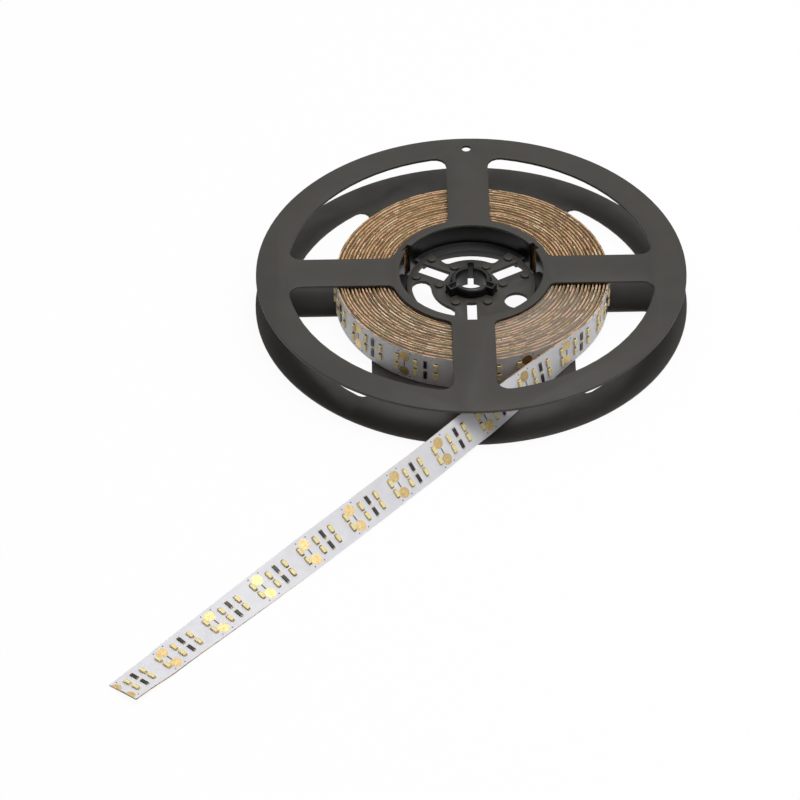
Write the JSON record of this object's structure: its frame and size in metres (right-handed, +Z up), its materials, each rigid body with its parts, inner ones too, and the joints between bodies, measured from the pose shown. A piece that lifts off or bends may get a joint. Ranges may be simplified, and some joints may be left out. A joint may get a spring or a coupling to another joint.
{
  "type": "led strip light",
  "caption": "Flexible double-row LED strip wound on a round two-flange plastic reel, its free end drawn out over the rim and lying flat.",
  "frame": {"origin": "middle of the base of the box that the whole object fills, with the strip's end drawn out", "axes": "+Z up along the reel's axis, +Y to the back, so that the strip's free end lies at -Y and -X; the upper flange's spokes run along X and Y"},
  "size_m": [0.233, 0.3236, 0.0174],
  "materials": {
    "lower_flange_plastic": "fine matte moulding",
    "upper_flange_plastic": "fine matte moulding",
    "barrel_gloss_black": "polished moulding",
    "disc_plastic": "fine matte moulding",
    "boss_gloss_black": "polished moulding",
    "strip_white_board": "white lacquered flexible board"
  },
  "bodies": {
    "root": {"lower_flange": "lower_flange_plastic", "upper_flange": "upper_flange_plastic", "hub_barrel": "barrel_gloss_black", "hub_disc": "disc_plastic", "spindle_boss": "boss_gloss_black", "led_strip": "strip_white_board"}
  },
  "joints": []
}
